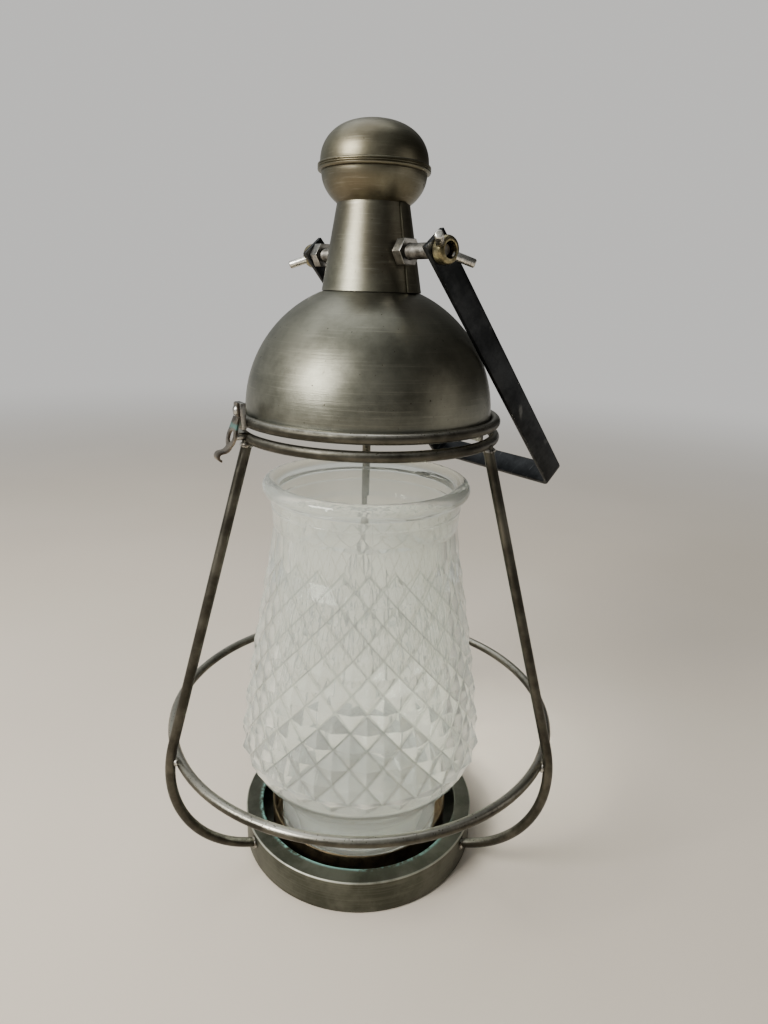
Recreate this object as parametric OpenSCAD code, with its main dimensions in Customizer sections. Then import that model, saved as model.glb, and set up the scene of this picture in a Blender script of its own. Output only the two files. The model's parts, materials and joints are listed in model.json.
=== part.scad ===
// Hanging jar lantern: a glass jar in a low round pan, three bent rod legs up to a ring,
// and a domed sheet-metal lid that is hinged on one side, latched on the other and
// carried by a flat strip bail. Millimetres, +Z up, origin at the centre of the underside.
// +X is the hinge side, -X the latch side.

/* [Base pan] */
// Outer radius of the pan
base_r = 80; // [64:1:96]
// Height of the pan
base_h = 24; // [20:1:30]
// Width of the flat rim round the hole in the pan's top
base_rim_w = 11.5; // [9:0.5:14]
// Thickness of the pan's sheet
base_sheet = 1.5; // [1:0.25:2]

/* [Jar dish] */
// Clear gap between the pan's hole and the loose dish that holds the jar's foot
dish_clear = 7; // [4:0.5:9]
// How far the dish stands out above the pan
dish_proud = 2; // [0.5:0.5:5]
// Height of the dish's pressed-up floor above the pan's floor
dish_lift = 4.5; // [3:0.5:8]
// Thickness of the dish's sheet
dish_sheet = 1.2; // [0.8:0.2:1.6]

/* [Glass jar] */
// Overall height of the jar
jar_h = 252.3; // [225:1:254]
// Clear gap between the jar's foot and the dish's wall
foot_clear = 5.3; // [3:0.1:8]
// Radius at the widest part, over the pattern
belly_r = 81.5; // [74:0.5:86]
// Radius of the plain neck
neck_glass_r = 58.4; // [55:0.2:60]
// Radius of the round bead on the rim's outer edge
rim_r = 63.8; // [62:0.2:66]
// Thickness of the glass
glass_wall = 4.4; // [3:0.2:5]

/* [Rod frame] */
// Diameter of the legs, the rings and the hoop
rod_d = 6; // [5:0.5:7]
// Clear gap between the dome's lip and the ring around it
ring_clear = 0; // [0:0.1:1]
// Height of the lower ring's centreline
ring_z = 289.5; // [280:1:330]
// Clear gap between the two rings
ring_gap = 3; // [2:0.5:5]
// Radius of the legs' centreline at their widest
leg_out = 130.5; // [122:0.5:138]
// Radius of each leg's bend
bend_r = 78; // [70:1:88]
// Height of the bend's centre
bend_z = 90; // [84:1:100]
// Height of the hoop's centreline
hoop_z = 99; // [92:1:106]

/* [Lid] */
// Outer radius of the dome
dome_r = 72; // [64:1:76]
// Height of the straight lip under the dome
dome_lip = 4; // [2:0.5:5]
// Thickness of the dome's and the chimney's sheet
lid_sheet = 1; // [0.8:0.1:1.5]
// Radius of the chimney where it stands on the dome
chimney_low_r = 28.1; // [24:0.5:32]
// Radius of the chimney at its top
chimney_top_r = 20; // [17:0.5:22]
// Height of the chimney
chimney_h = 45.1; // [36:1:56]

/* [Finial] */
// Radius of the flange around the middle
flange_r = 30.5; // [29:0.5:34]
// Height of the bowl under the flange
bowl_h = 15; // [12:0.5:18]
// Height of the flange
flange_h = 4.2; // [3:0.2:6]
// Height of the cap above the flange
cap_h = 21.5; // [17:0.5:26]

/* [Bail and pivot] */
// Height of the pivot rod above the dome's centre
pivot_up = 87.1; // [82:0.5:95]
// Turn of the pivot rod away from the hinge's direction
pivot_turn = 7; // [0:1:10]
// Diameter of the threaded pivot rod
pivot_d = 8; // [6:1:8]
// Length of the pivot rod
pivot_len = 118; // [114:1:122]
// Width of the bail's strip
strip_w = 15; // [12:1:18]
// Thickness of the bail's strip
strip_t = 3; // [2:0.5:4]
// Distance between the inner faces of the bail's arms
bail_gap = 105.8; // [104:0.5:112]
// Length of the arms from the pivot to the middle of the crossbar
bail_arm = 173; // [165:1:190]
// Angle of the resting bail from straight down
bail_rest = 40.7; // [40.7:0.5:48.2]

/* [Nuts] */
// Width across flats of the hexagon nuts
nut_flats = 13; // [11:1:14]
// Thickness of the hexagon nuts
nut_h = 6.5; // [5:0.5:7]
// Radius of the wing nuts' round hub
wing_hub_r = 7; // [6.5:0.5:9]
// Height of the wing nuts' hub
wing_hub_h = 6.5; // [6:0.5:9]
// Diameter of each round wing
wing_d = 4.5; // [3.5:0.5:5]
// Length of each wing out of the hub
wing_len = 11; // [8:1:16]
// Angle at which the wings slant away from the bail
wing_lift = 40; // [20:5:45]
// Turn of the wings on the pivot rod
wing_turn = -25; // [-90:5:90]

/* [Hinge and latch] */
// Width of both hinge leaves
leaf_w = 26; // [20:1:32]
// Thickness of the hinge leaves and the latch's strip
leaf_t = 1.5; // [1:0.25:2]
// Height of each hinge leaf above or below the pin
leaf_h = 17; // [13:1:20]
// Radius of the hinge's knuckles
knuckle_r = 3; // [2.5:0.25:3.5]
// Diameter of the hinge pin
pin_d = 3; // [2:0.5:3.5]
// Width of the latch's spring strip at its eye
latch_w = 13; // [11:0.5:14]
// Thickness of the lug that carries the latch
lug_t = 3; // [2.5:0.25:4]
// Angle at which the open latch strip stands off the lid
latch_lean = 17; // [17:1:22]
// Radius of the catch stud
stud_r = 2; // [1.5:0.25:2.5]

/* [Hidden] */
$fn = 96;

// clearances
run_fit = 0.08;       // radial, a hole that turns on its pin
part_gap = 0.3;       // between faces that move past each other
weld_sink = 0.2;      // how far welded rods sink into each other
join = 0.01;          // overlap that keeps a bend and its straight one solid
rod_socket = 0.5;     // depth of a straight rod inside the end of its bend

// heights worked out from the frame
rod_r = rod_d / 2;
ring_r = dome_r + ring_clear + rod_r;
upper_ring_z = ring_z + rod_d + ring_gap;
split_z = ring_z + rod_r + ring_gap / 2;
dome_seat = 2.5;      // dome's centre above the upper ring's centreline
dome_z = upper_ring_z + dome_seat;
dome_hole_r = chimney_low_r - lid_sheet;
chimney_z = dome_z + sqrt(dome_r ^ 2 - dome_hole_r ^ 2);
chimney_top_z = chimney_z + chimney_h;
flange_z = chimney_top_z + bowl_h;
cap_z = flange_z + flange_h;
pivot_z = dome_z + pivot_up;

// pan, dish and jar, each as wide as the one around it lets it be
base_hole_r = base_r - base_rim_w;
dish_r = base_hole_r - dish_clear;
foot_r = dish_r - dish_sheet - foot_clear;
dish_z = base_sheet;
dish_floor_z = dish_z + dish_lift;
jar_z = dish_floor_z + dish_sheet + part_gap;
foot_top = 27;        // above the jar's underside
belly_at = 72;        // above the jar's underside
shoulder_at = 215;    // where the taper meets the plain neck
taper_power = 1.2;
foot_round = 7;
glass_floor = 6;

// legs, evenly spaced, with one on the latch side
leg_count = 3;
leg_step = 360 / leg_count;
leg_top_out = 1.5;    // how far a leg's top stands outside the ring's centreline
bend_x = leg_out - bend_r;
leg_top = [ring_r + leg_top_out, ring_z - rod_r];
bend_at = [bend_x, bend_z];
to_top = leg_top - bend_at;
leg_reach = norm(to_top);
leg_lean = atan2(to_top[1], to_top[0]) - acos(bend_r / leg_reach);
leg_len = sqrt(leg_reach ^ 2 - bend_r ^ 2);
leg_end = -acos((base_r - bend_x) / bend_r);
leg_x_at_hoop = bend_x + sqrt(bend_r ^ 2 - (hoop_z - bend_z) ^ 2);
hoop_r = leg_x_at_hoop - rod_d + weld_sink;

// finial
flange_over_bowl = 2;
flange_over_cap = 1.3;
bowl_r = flange_r - flange_over_bowl;
cap_r = flange_r - flange_over_cap;

// hinge, centred between the rings and just outside them
leaf_x = ring_r + rod_r;
knuckle_set = 0.4;    // how far the knuckles reach in past the leaves' inner face
pin_x = leaf_x + knuckle_r - knuckle_set;
pin_r = pin_d / 2;
middle_knuckle = leaf_w / 3;

// latch, on the same plane outside the rings
latch_x = leaf_x + lug_t;
latch_t = 1.2;
flex_above_split = 8;
flex_z = split_z + flex_above_split;
flex_x = latch_x + latch_t / 2;
flex_gap = 0.45;      // lets the strip's end turn under its clamped root
stud_above_ring = 1.5;
stud_z = ring_z + stud_above_ring;
stud_proud = 1.2;     // how far the stud stands out of the shut strip
stud_tip = latch_x + latch_t + stud_proud;
eye_drop = flex_z - stud_z;
eye_gap = 1.3;        // between the stud and the eye's edge
eye_r = stud_r + eye_gap;
root_h = 7;
rivet_z = flex_z + root_h / 2;
rivet_r = 1.5;

// hardware along the pivot rod
nut_r = nut_flats / 2 / cos(30);
chimney_r_low = chimney_low_r
    - (chimney_low_r - chimney_top_r) * (pivot_z - nut_r - chimney_z) / chimney_h;
nut_seat_gap = 0.1;
chimney_nut_n = chimney_r_low + nut_seat_gap;
bail_in = bail_gap / 2;
bail_nut_n = bail_in - part_gap - nut_h;
wing_n = bail_in + strip_t + part_gap;
bail_end = strip_w / 2;

// turns its children about the lantern's axis, +X outwards
module outward(angle) {
    rotate([0, 0, angle]) children();
}

// puts its children on the pivot rod's axis, +Z along the rod to the front end
module on_pivot() {
    translate([0, 0, pivot_z]) rotate([0, 0, pivot_turn]) rotate([90, 0, 0]) children();
}

module rod_ring(radius, height) {
    translate([0, 0, height]) rotate_extrude() translate([radius, 0]) circle(r = rod_r);
}

// ---- base ----

module base_floor() {
    color("dimgray") cylinder(r = base_r, h = base_sheet);
}

module base_shell() {
    color("slategray")
    rotate_extrude() {
        translate([base_r - base_sheet, base_sheet])
            square([base_sheet, base_h - base_sheet]);
        translate([base_hole_r, base_h - base_sheet])
            square([base_r - base_hole_r, base_sheet]);
    }
}

module jar_dish() {
    dish_top = base_h + dish_proud;
    color("peru")
    rotate_extrude() {
        translate([dish_r - dish_sheet, dish_z]) square([dish_sheet, dish_top - dish_z]);
        translate([0, dish_floor_z]) square([dish_r - dish_sheet, dish_sheet]);
    }
}

// ---- glass jar ----

// outer radius of the jar at a height above its underside
function jar_r(h) =
    h < foot_round ? foot_r - foot_round + sqrt(foot_round ^ 2 - (foot_round - h) ^ 2)
    : h < foot_top ? foot_r
    : h < belly_at
        ? foot_r + (belly_r - foot_r) * (1 + cos(180 * (belly_at - h) / (belly_at - foot_top))) / 2
    : h < shoulder_at
        ? belly_r - (belly_r - neck_glass_r)
            * pow((h - belly_at) / (shoulder_at - belly_at), taper_power)
    : neck_glass_r;

module glass_jar() {
    bead_r = (rim_r - neck_glass_r + glass_wall) / 2;
    bead_h = jar_h - bead_r;
    outer_steps = [0, 1, 3.5, 7, foot_top, 33, 39, 45, 51, 57, 64, belly_at,
        84, 100, 120, 140, 160, 180, 200, shoulder_at, bead_h];
    inner_steps = [bead_h, shoulder_at, 200, 180, 160, 140, 120, 100, 84, belly_at,
        64, 57, 51, 45, 39, 33, foot_top, glass_floor + 4];
    color("lightcyan", 0.4)
    translate([0, 0, jar_z]) rotate_extrude() {
        polygon(concat(
            [[0, 0]],
            [for (h = outer_steps) [jar_r(h), h]],
            [for (h = inner_steps) [jar_r(h) - glass_wall, h]],
            [[foot_r - glass_wall - 4, glass_floor], [0, glass_floor]]
        ));
        translate([rim_r - bead_r, bead_h]) circle(r = bead_r);
    }
}

// ---- rod frame ----

// one leg in its own upright plane: a straight length, then a bend in to the pan's side
module leg(angle) {
    color("gray")
    outward(angle)
    difference() {
        union() {
            translate([bend_x + bend_r * cos(leg_lean), 0, bend_z + bend_r * sin(leg_lean)])
                rotate([0, -leg_lean, 0])
                translate([0, 0, -rod_socket]) cylinder(r = rod_r - 2 * join, h = leg_len + rod_d);
            translate([bend_x, 0, bend_z]) rotate([90, 0, 0]) rotate([0, 0, leg_end - 4])
                rotate_extrude(angle = leg_lean - leg_end + 4)
                translate([bend_r, 0]) circle(r = rod_r);
        }
        translate([0, 0, -1]) cylinder(r = base_r, h = base_h + rod_d * 2);
        translate([0, -rod_d, leg_top[1]]) cube([leg_out, rod_d * 2, rod_d * 2]);
    }
}

module leg_latch_side() {
    leg(180);
}

module leg_front() {
    leg(180 + leg_step);
}

module leg_rear() {
    leg(180 - leg_step);
}

module hoop() {
    color("gray") rod_ring(hoop_r, hoop_z);
}

module lower_ring() {
    color("gray") rod_ring(ring_r, ring_z);
}

module upper_ring() {
    color("gray") rod_ring(ring_r, upper_ring_z);
}

// ---- lid ----

module dome() {
    color("darkkhaki")
    translate([0, 0, dome_z]) rotate_extrude() {
        difference() {
            intersection() {
                circle(r = dome_r);
                translate([dome_hole_r, 0]) square([dome_r, dome_r]);
            }
            circle(r = dome_r - lid_sheet);
        }
        translate([dome_r - lid_sheet, -dome_lip]) square([lid_sheet, dome_lip]);
    }
}

module chimney() {
    color("darkkhaki")
    difference() {
        translate([0, 0, chimney_z]) rotate_extrude() polygon([
            [chimney_low_r - lid_sheet, 0], [chimney_low_r, 0],
            [chimney_top_r, chimney_h], [chimney_top_r - lid_sheet, chimney_h]
        ]);
        on_pivot() cylinder(d = pivot_d + 2 * run_fit, h = chimney_low_r * 3, center = true);
    }
}

// bowl's radius at a fraction of its height, an ellipse from the chimney to the flange
function bowl_at(t) =
    sqrt(bowl_r ^ 2 - (bowl_r ^ 2 - chimney_top_r ^ 2) * (1 - t) ^ 2);

module finial_bowl() {
    steps = [0 : 0.125 : 1];
    color("olive")
    translate([0, 0, chimney_top_z]) rotate_extrude() polygon(concat(
        [for (t = steps) [bowl_at(t), t * bowl_h]],
        [for (t = [1 : -0.125 : 0]) [bowl_at(t) - lid_sheet, t * bowl_h]]
    ));
}

module finial_flange() {
    edge_r = flange_h / 2;
    inner_r = bowl_r - lid_sheet * 2;
    color("darkkhaki")
    translate([0, 0, flange_z]) rotate_extrude() {
        translate([flange_r - edge_r, edge_r]) circle(r = edge_r);
        translate([inner_r, 0]) square([flange_r - edge_r - inner_r, flange_h]);
    }
}

// cap's radius at a fraction of its height, fuller than an ellipse so that the top is flat
cap_side_power = 2.2;
cap_top_power = 2.4;
function cap_at(t) = cap_r * pow(1 - pow(t, cap_side_power), 1 / cap_top_power);

module finial_cap() {
    steps = [0, 0.2, 0.4, 0.55, 0.7, 0.8, 0.88, 0.94, 0.98, 1];
    inner = (cap_r - lid_sheet) / cap_r;
    color("darkkhaki")
    translate([0, 0, cap_z]) rotate_extrude() polygon(concat(
        [for (t = steps) [cap_at(t), t * cap_h]],
        [for (i = [len(steps) - 1 : -1 : 0]) [cap_at(steps[i]), steps[i] * cap_h] * inner]
    ));
}

// ---- hinge, at +X ----

// one knuckle drilled for the pin, with the tab that joins it to its leaf (up: 1, down: -1)
module knuckle(from, to, up, hole_r) {
    tab_h = knuckle_r + 2;
    translate([pin_x, to, split_z]) rotate([90, 0, 0]) linear_extrude(to - from)
    difference() {
        union() {
            circle(r = knuckle_r);
            translate([leaf_x - pin_x, up > 0 ? 0 : -tab_h]) square([leaf_t, tab_h]);
        }
        circle(r = hole_r);
    }
}

// lower leaf: two outer knuckles, its plate against the lower ring
module hinge_lower_leaf() {
    plate_h = leaf_h - knuckle_r - part_gap;
    color("darkgray") {
        translate([leaf_x, -leaf_w / 2, split_z - leaf_h]) cube([leaf_t, leaf_w, plate_h]);
        knuckle(-leaf_w / 2, -middle_knuckle / 2, -1, pin_r);
        knuckle(middle_knuckle / 2, leaf_w / 2, -1, pin_r);
    }
}

// upper leaf: one middle knuckle, its plate against the upper ring
module hinge_upper_leaf() {
    plate_z = split_z + knuckle_r + part_gap;
    half = middle_knuckle / 2 - part_gap;
    color("darkgray") {
        translate([leaf_x, -leaf_w / 2, plate_z]) cube([leaf_t, leaf_w, split_z + leaf_h - plate_z]);
        knuckle(-half, half, 1, pin_r + run_fit);
    }
}

module hinge_pin() {
    color("silver")
    translate([pin_x, 0, split_z]) rotate([90, 0, 0])
        cylinder(r = pin_r, h = leaf_w, center = true);
}

// ---- latch, at -X ----

module rivet_hole() {
    translate([leaf_x, 0, rivet_z]) rotate([0, 90, 0])
        cylinder(r = rivet_r, h = lug_t * 4, center = true);
}

// lug on the upper ring, set back below the bending line so that the strip swings free
module latch_lug() {
    lug_w = latch_w - 4;
    color("slategray")
    outward(180)
    difference() {
        union() {
            translate([leaf_x, -lug_w / 2, upper_ring_z - rod_r])
                cube([lug_t - part_gap, lug_w, flex_z - upper_ring_z + rod_d]);
            translate([leaf_x, -lug_w / 2, flex_z + flex_gap]) cube([lug_t, lug_w, root_h]);
        }
        rivet_hole();
    }
}

// clamped end of the spring strip, above its bending line and narrower towards its top
module latch_root() {
    root_w = latch_w - 5.5;
    root_top_w = latch_w - 8;
    color("rosybrown")
    outward(180)
    difference() {
        translate([latch_x, 0, flex_z + flex_gap]) rotate([90, 0, 90]) linear_extrude(latch_t)
            polygon([[-root_w / 2, 0], [root_w / 2, 0], [root_top_w / 2, root_h], [-root_top_w / 2, root_h]]);
        rivet_hole();
    }
}

module latch_rivet() {
    head_r = 2.8;
    head_top_r = 1.6;
    tail_r = 2.4;
    head_h = 1.2;
    color("silver")
    outward(180) translate([0, 0, rivet_z]) rotate([0, 90, 0]) {
        translate([0, 0, leaf_x]) cylinder(r = rivet_r, h = lug_t + latch_t);
        translate([0, 0, latch_x + latch_t]) cylinder(r1 = head_r, r2 = head_top_r, h = head_h);
        translate([0, 0, leaf_x - head_h]) cylinder(r = tail_r, h = head_h);
    }
}

// moving end of the spring strip: an eye for the stud, then a thumb tab curled at its end
module latch_strip() {
    neck_w = latch_w - 5.5;
    neck_end = -part_gap / 2;
    tab_w = latch_w - 6;
    tab_r = 4;
    tab_turn = 65;
    tab_len = 1.5;
    curl_r = 1.6;
    curl_turn = 160;
    tab_drop = eye_drop + latch_w / 2 - 1.5;
    color("rosybrown")
    outward(180)
    translate([flex_x, 0, flex_z]) rotate([0, -latch_lean, 0]) translate([-latch_t / 2, 0, 0])
    difference() {
        union() {
            rotate([90, 0, 90]) linear_extrude(latch_t) polygon([
                [-latch_w / 2, -eye_drop], [latch_w / 2, -eye_drop],
                [neck_w / 2, neck_end], [-neck_w / 2, neck_end]
            ]);
            translate([0, 0, -eye_drop]) rotate([0, 90, 0]) cylinder(d = latch_w, h = latch_t);
            translate([0, -tab_w / 2, -tab_drop]) cube([latch_t, tab_w, tab_drop - eye_drop]);
            translate([tab_r + latch_t, 0, -tab_drop]) rotate([90, 0, 0]) rotate([0, 0, 180])
                rotate_extrude(angle = tab_turn)
                translate([tab_r, -tab_w / 2]) square([latch_t, tab_w]);
            translate([tab_r + latch_t, 0, -tab_drop]) rotate([0, -tab_turn, 0]) {
                translate([-tab_r - latch_t, -tab_w / 2, -tab_len - join])
                    cube([latch_t, tab_w, tab_len + 2 * join]);
                translate([-tab_r - curl_r - latch_t, 0, -tab_len]) rotate([90, 0, 0])
                    rotate_extrude(angle = -curl_turn)
                    translate([curl_r, -tab_w / 2]) square([latch_t, tab_w]);
            }
        }
        translate([0, 0, -eye_drop]) rotate([0, 90, 0])
            cylinder(r = eye_r, h = latch_t * 4, center = true);
    }
}

module latch_stud() {
    color("silver")
    outward(180)
    difference() {
        translate([ring_r, 0, stud_z]) rotate([0, 90, 0])
            cylinder(r = stud_r, h = stud_tip - ring_r);
        rod_ring(ring_r, ring_z);
    }
}

// ---- pivot, nuts and bail ----

module pivot_rod() {
    color("lightgray") on_pivot() cylinder(d = pivot_d, h = pivot_len, center = true);
}

// hexagon nut standing on its face, tapped for the pivot rod
module hex_nut() {
    difference() {
        cylinder(r = nut_r, h = nut_h, $fn = 6);
        translate([0, 0, -1]) cylinder(d = pivot_d, h = nut_h + 2, $fn = 96);
    }
}

// one on each side of the chimney
module chimney_nuts() {
    color("silver")
    on_pivot() for (side = [0, 180]) {
        rotate([side, 0, 0]) translate([0, 0, chimney_nut_n]) hex_nut();
    }
}

// inside the rear arm only
module bail_nut() {
    color("silver")
    on_pivot() rotate([180, 0, 0]) translate([0, 0, bail_nut_n]) hex_nut();
}

// square-cornered strip, drawn hanging straight down and then turned to rest on the ring
module bail() {
    drop = bail_arm + strip_t / 2;
    color([0.12, 0.12, 0.13])
    translate([0, 0, pivot_z]) rotate([0, 0, pivot_turn]) rotate([0, -bail_rest, 0])
    difference() {
        union() {
            for (side = [-1, 1]) {
                translate([-strip_w / 2, side > 0 ? bail_in : -bail_in - strip_t, -drop])
                    cube([strip_w, strip_t, drop + bail_end]);
            }
            translate([-strip_w / 2, -bail_in - strip_t, -drop])
                cube([strip_w, bail_gap + 2 * strip_t, strip_t]);
        }
        rotate([90, 0, 0])
            cylinder(d = pivot_d + 2 * run_fit, h = bail_gap + 4 * strip_t, center = true);
    }
}

// round hub with two round wings that slant outwards
module wing_nut(flip) {
    wing_root = 2.2;      // how deep each wing starts inside the hub
    hub_taper = 1.6;
    straight_h = wing_hub_h * 0.45;
    color("goldenrod")
    on_pivot() rotate([flip, 0, 0]) translate([0, 0, wing_n])
    difference() {
        union() {
            cylinder(r = wing_hub_r, h = straight_h);
            translate([0, 0, straight_h]) cylinder(
                r1 = wing_hub_r, r2 = wing_hub_r - hub_taper, h = wing_hub_h - straight_h);
            for (turn = [0, 180]) {
                rotate([0, 0, turn + wing_turn]) translate([wing_hub_r - wing_root, 0, wing_hub_h / 2])
                    rotate([0, 90 - wing_lift, 0]) cylinder(d = wing_d, h = wing_len + wing_root - 1);
            }
        }
        translate([0, 0, -1]) cylinder(d = pivot_d + 2 * run_fit, h = wing_hub_h + wing_len);
    }
}

module wing_nut_front() {
    wing_nut(0);
}

module wing_nut_rear() {
    wing_nut(180);
}

base_floor();
base_shell();
jar_dish();
glass_jar();
leg_latch_side();
leg_front();
leg_rear();
hoop();
lower_ring();
upper_ring();
dome();
chimney();
finial_bowl();
finial_flange();
finial_cap();
hinge_lower_leaf();
hinge_upper_leaf();
hinge_pin();
latch_lug();
latch_root();
latch_rivet();
latch_strip();
latch_stud();
pivot_rod();
chimney_nuts();
bail_nut();
bail();
wing_nut_front();
wing_nut_rear();
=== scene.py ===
"""A hanging jar lantern: pressed-glass jar, rod frame in a round pan, hinged dome lid and strip bail.

Metres, +Z up. +X is the hinge side, -X the latch side. The sections follow the lantern as it is
put together, from the pan up to the bail.
"""
import json
from math import acos, atan2, cos, degrees, hypot, pi, radians, sin, sqrt

import bmesh
import bpy
from mathutils import Euler, Matrix, Vector


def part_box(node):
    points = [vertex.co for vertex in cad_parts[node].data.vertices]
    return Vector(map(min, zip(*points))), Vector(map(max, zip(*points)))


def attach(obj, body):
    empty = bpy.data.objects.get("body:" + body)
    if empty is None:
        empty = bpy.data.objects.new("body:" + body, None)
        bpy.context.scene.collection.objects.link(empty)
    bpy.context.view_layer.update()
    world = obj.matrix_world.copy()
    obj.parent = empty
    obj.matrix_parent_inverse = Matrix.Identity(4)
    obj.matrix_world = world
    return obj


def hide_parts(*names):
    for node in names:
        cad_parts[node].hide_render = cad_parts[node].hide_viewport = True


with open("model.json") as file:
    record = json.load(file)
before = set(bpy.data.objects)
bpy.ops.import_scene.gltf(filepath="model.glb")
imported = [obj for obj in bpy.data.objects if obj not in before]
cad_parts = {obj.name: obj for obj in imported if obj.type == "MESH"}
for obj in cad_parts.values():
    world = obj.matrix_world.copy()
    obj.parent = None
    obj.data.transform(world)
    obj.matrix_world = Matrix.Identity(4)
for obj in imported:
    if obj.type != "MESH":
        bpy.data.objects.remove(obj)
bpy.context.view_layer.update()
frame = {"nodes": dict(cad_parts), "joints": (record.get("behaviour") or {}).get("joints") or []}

# ---- studio ----
# A pale floor that fades into the backdrop, a soft light to the left of the camera, weaker ones
# above and opposite, and a sky that is brighter on the left, so that round metal shades to dark.

CAMERA_AT = (-0.2015, -0.341, 0.365)
CAMERA_LENS = 23.36
CAMERA_DOWN = 17.9
CAMERA_HEADING = -32.2
CAMERA_ROLL = 1.9

camera = bpy.data.objects.new("camera", bpy.data.cameras.new("camera"))
bpy.context.scene.collection.objects.link(camera)
camera.data.lens = CAMERA_LENS
camera.data.clip_start = 0.01
aim = Euler((radians(90 - CAMERA_DOWN), 0, radians(CAMERA_HEADING))).to_matrix()
aim = aim @ Matrix.Rotation(radians(CAMERA_ROLL), 3, "Z")
camera.matrix_world = Matrix.Translation(CAMERA_AT) @ aim.to_4x4()
bpy.context.scene.camera = camera

LIGHT_TARGET = Vector((0, 0, 0.25))
for name, place, size, power, tint in (
    ("key_light", (-1.15, -0.12, 0.95), 0.58, 25.0, (1.0, 0.98, 0.93)),
    ("top_light", (-0.1, 0.4, 1.6), 1.2, 7.0, (0.95, 0.98, 1.0)),
    ("low_fill", (0.9, -1.1, 0.6), 0.8, 1.2, (1.0, 0.94, 0.86)),
):
    light = bpy.data.objects.new(name, bpy.data.lights.new(name, "AREA"))
    light.data.energy = power
    light.data.size = size
    light.data.color = tint
    light.location = place
    light.rotation_euler = (LIGHT_TARGET - Vector(place)).to_track_quat("-Z", "Y").to_euler()
    bpy.context.scene.collection.objects.link(light)


class Wire:
    """A socket in a node tree. Arithmetic on it adds Math nodes, and node() adds any other node."""

    def __init__(self, tree, socket=None):
        self.tree = tree
        self.socket = socket

    def feed(self, socket, value):
        if isinstance(value, Wire):
            self.tree.links.new(value.socket, socket)
        else:
            socket.default_value = value

    def node(self, kind, settings=None, inputs=None, output=0):
        made = self.tree.nodes.new("ShaderNode" + kind)
        for name, value in (settings or {}).items():
            setattr(made, name, value)
        for name, value in (inputs or {}).items():
            self.feed(made.inputs[name], value)
        return Wire(self.tree, made.outputs[output])

    def maths(self, operation, *values):
        return self.node("Math", {"operation": operation}, dict(enumerate(values)))

    def __add__(self, other):
        return self.maths("ADD", self, other)

    def __sub__(self, other):
        return self.maths("SUBTRACT", self, other)

    def __rsub__(self, other):
        return self.maths("SUBTRACT", other, self)

    def __mul__(self, other):
        return self.maths("MULTIPLY", self, other)

    def __truediv__(self, other):
        return self.maths("DIVIDE", self, other)

    __radd__ = __add__
    __rmul__ = __mul__

    def rise(self, low, high):
        """0 below low, 1 above high and smooth between; with low above high it falls instead."""
        ends = {"From Min": min(low, high), "From Max": max(low, high)}
        ends.update({"To Min": float(low > high), "To Max": float(low < high), "Value": self})
        return self.node("MapRange", {"interpolation_type": "SMOOTHSTEP"}, ends)

    def blend(self, first, second):
        """The colour first where this is 0 and second where it is 1."""
        ends = {0: self, 6: first, 7: second}
        return self.node("Mix", {"data_type": "RGBA"}, ends, 2)


sky = bpy.data.worlds.new("sky")
sky.use_nodes = True
sky.node_tree.nodes.clear()
bpy.context.scene.world = sky
air = Wire(sky.node_tree)
towards_left = air.node(
    "VectorMath", {"operation": "DOT_PRODUCT"},
    {0: air.node("TexCoord", output=0), 1: (-0.80, 0.50, 0.33)}, 1)
lit_sky = towards_left.rise(-0.65, 1.0).blend((0.022, 0.020, 0.017, 1), (0.47, 0.485, 0.475, 1))
seen = air.node("LightPath", output=0)
through = air.node("LightPath", output=6)
SWEEP_COLOUR = (0.69, 0.68, 0.66, 1)
sky_colour = (seen + through).blend(lit_sky, SWEEP_COLOUR)
backdrop = air.node("Background", inputs={"Color": sky_colour, "Strength": 1.0})
sky_end = sky.node_tree.nodes.new("ShaderNodeOutputWorld")
sky.node_tree.links.new(backdrop.socket, sky_end.inputs["Surface"])


def new_finish(name, **constants):
    """A material with one Principled shader; returns it, its shader node and a Wire to build with."""
    material = bpy.data.materials.new(name)
    material.use_nodes = True
    shader = material.node_tree.nodes["Principled BSDF"]
    for socket, value in constants.items():
        shader.inputs[socket.replace("_", " ")].default_value = value
    return material, shader, Wire(material.node_tree)


def clear_selection():
    if bpy.context.mode != "OBJECT":
        bpy.ops.object.mode_set(mode="OBJECT")
    bpy.ops.object.select_all(action="DESELECT")


FLOOR_SIZE = 60.0
SWEEP_FROM, SWEEP_TO = 0.55, 2.6
clear_selection()
bpy.ops.mesh.primitive_plane_add(size=FLOOR_SIZE)
floor = bpy.context.object
floor.name = "floor"
floor_paint, floor_shader, wire = new_finish(
    "floor_paint", Roughness=0.6, Specular_IOR_Level=0.0, Emission_Strength=1.0)
place = wire.node("TexCoord", output=3)
spots = wire.node("TexNoise", inputs={"Vector": place, "Scale": 3.0})
paint = spots.rise(0.3, 0.7).blend((0.76, 0.675, 0.57, 1), (0.79, 0.705, 0.60, 1))
swept = wire.node("VectorMath", {"operation": "LENGTH"}, {0: place}, 1).rise(SWEEP_FROM, SWEEP_TO)
wire.feed(floor_shader.inputs["Base Color"], swept.blend(paint, (0, 0, 0, 1)))
wire.feed(floor_shader.inputs["Emission Color"], swept.blend((0, 0, 0, 1), SWEEP_COLOUR))
floor.data.materials.append(floor_paint)


# ---- pan ----
# Dull grey-green sheet steel: a side wall whose top turns in to a flat ring round a large hole,
# closed by a pressed-in floor. A painted highlight runs round the outer top edge, broken up by patchy wear,
# and the hole's edge is verdigris.

def apply_place(piece):
    clear_selection()
    piece.select_set(True)
    bpy.context.view_layer.objects.active = piece
    bpy.ops.object.transform_apply(location=True, rotation=True, scale=True)


def smooth(piece, crease):
    """Smooth shading, except across edges sharper than crease degrees."""
    clear_selection()
    piece.select_set(True)
    bpy.context.view_layer.objects.active = piece
    bpy.ops.object.shade_smooth_by_angle(angle=radians(crease))


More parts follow.
